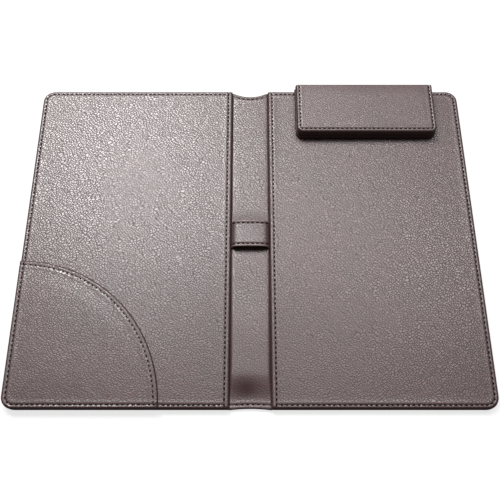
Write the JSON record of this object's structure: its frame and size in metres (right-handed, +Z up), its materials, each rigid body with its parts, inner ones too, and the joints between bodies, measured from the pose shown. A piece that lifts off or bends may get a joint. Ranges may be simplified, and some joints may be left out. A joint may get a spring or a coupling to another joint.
{
  "type": "cheque presenter",
  "caption": "Leathered folder for handing over a bill, lying open: stiff covers joined by a soft gutter with a pen loop, a corner pocket on the left and a magnetic clip on the right.",
  "frame": {"origin": "centre of the bounding box at its bottom, on the table in the middle of the gutter", "axes": "+X to the right cover, +Y away from the guest towards the clip, +Z up out of the inside faces"},
  "size_m": [0.304, 0.23, 0.014],
  "materials": {
    "skin": "satin",
    "lining": "satin",
    "greyboard": "matte",
    "keeper_steel": "satin",
    "magnet": "satin"
  },
  "bodies": {
    "right_cover": {"right_outer_cover": "skin", "right_board": "greyboard", "right_liner": "lining", "clip_base_cover": "skin", "clip_base_plate": "keeper_steel"},
    "spine": {"spine_skin": "skin", "spine_lining": "lining", "pen_loop": "lining"},
    "left_cover": {"left_outer_cover": "skin", "left_board": "greyboard", "left_liner": "lining", "corner_pocket": "lining"},
    "clip_flap": {"clip_flap_cover": "skin", "clip_flap_lining": "lining", "clip_flap_board": "greyboard", "clip_magnet_1": "magnet", "clip_magnet_2": "magnet", "clip_magnet_3": "magnet"}
  },
  "joints": [
    {"name": "right_fold", "type": "hinge", "parent": "right_cover", "child": "spine", "pos_m": [0.013, 0, 0.0048], "axis": [0, 1, 0], "range_deg": [0, 90]},
    {"name": "left_fold", "type": "hinge", "parent": "spine", "child": "left_cover", "pos_m": [-0.013, 0, 0.0048], "axis": [0, 1, 0], "range_deg": [0, 90]},
    {"name": "clip_hinge", "type": "hinge", "parent": "right_cover", "child": "clip_flap", "pos_m": [0.0825, 0.115, 0.0084], "axis": [-1, 0, 0], "range_deg": [0, 150]}
  ]
}
